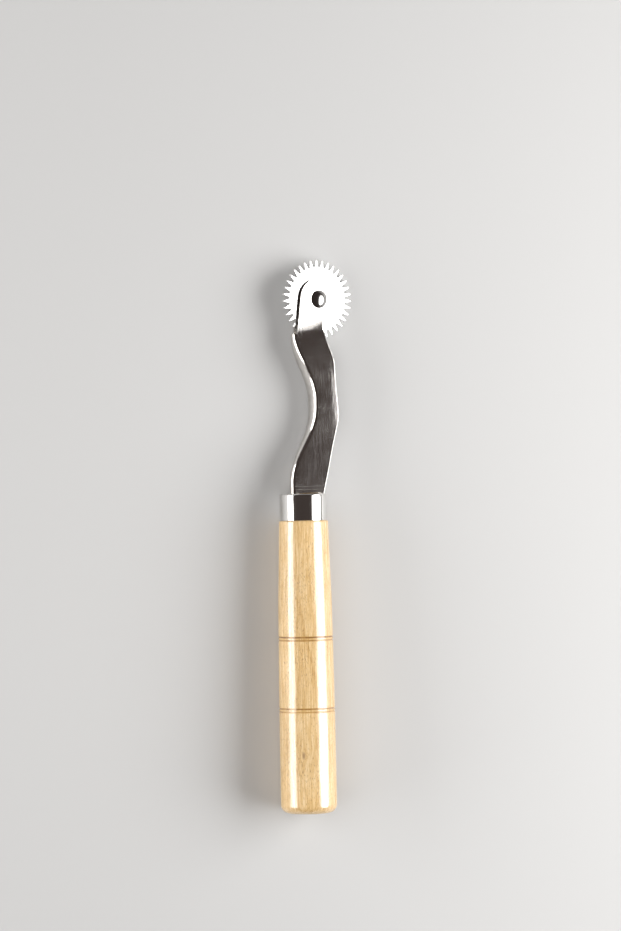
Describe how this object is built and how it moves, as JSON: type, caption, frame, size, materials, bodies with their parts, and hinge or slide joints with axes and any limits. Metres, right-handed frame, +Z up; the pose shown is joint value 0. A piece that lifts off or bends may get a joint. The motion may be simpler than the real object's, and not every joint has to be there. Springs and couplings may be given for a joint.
{
  "type": "tracing wheel",
  "caption": "Toothed steel wheel spinning freely in a folded sheet-metal fork on a turned wooden handle, rolled over cloth or paper to mark a line.",
  "frame": {"origin": "middle of the tool's footprint on the surface that it lies on", "axes": "+Y along the handle from the butt to the wheel, +Z up from the surface, +X towards the side where the wheel's rim touches the surface; the tool lies as it rests on a table, on the front taper of its handle and the rim of its wheel, so the handle's axis dips 1.63 degrees towards the wheel and the fork is rolled 16.68 degrees about it"},
  "size_m": [0.024, 0.155, 0.0171],
  "materials": {
    "wood": "pale straight-grained turned wood, sanded and sealed with a clear glossy lacquer",
    "nickel_plate": "bright nickel plate",
    "plated_sheet": "bright plated steel sheet with a faint haze",
    "wheel_steel": "stamped and plated steel, satin faces",
    "rivet_steel": "polished steel"
  },
  "bodies": {
    "holder": {"handle": "wood", "ferrule": "nickel_plate", "fork": "plated_sheet", "rivet": "rivet_steel"},
    "wheel": {"wheel": "wheel_steel"}
  },
  "joints": [
    {"name": "wheel_spin", "type": "hinge", "parent": "holder", "child": "wheel", "pos_m": [0.00135, 0.06643, 0.00355], "axis": [0.287, 0.0272, 0.9576], "continuous": true}
  ]
}
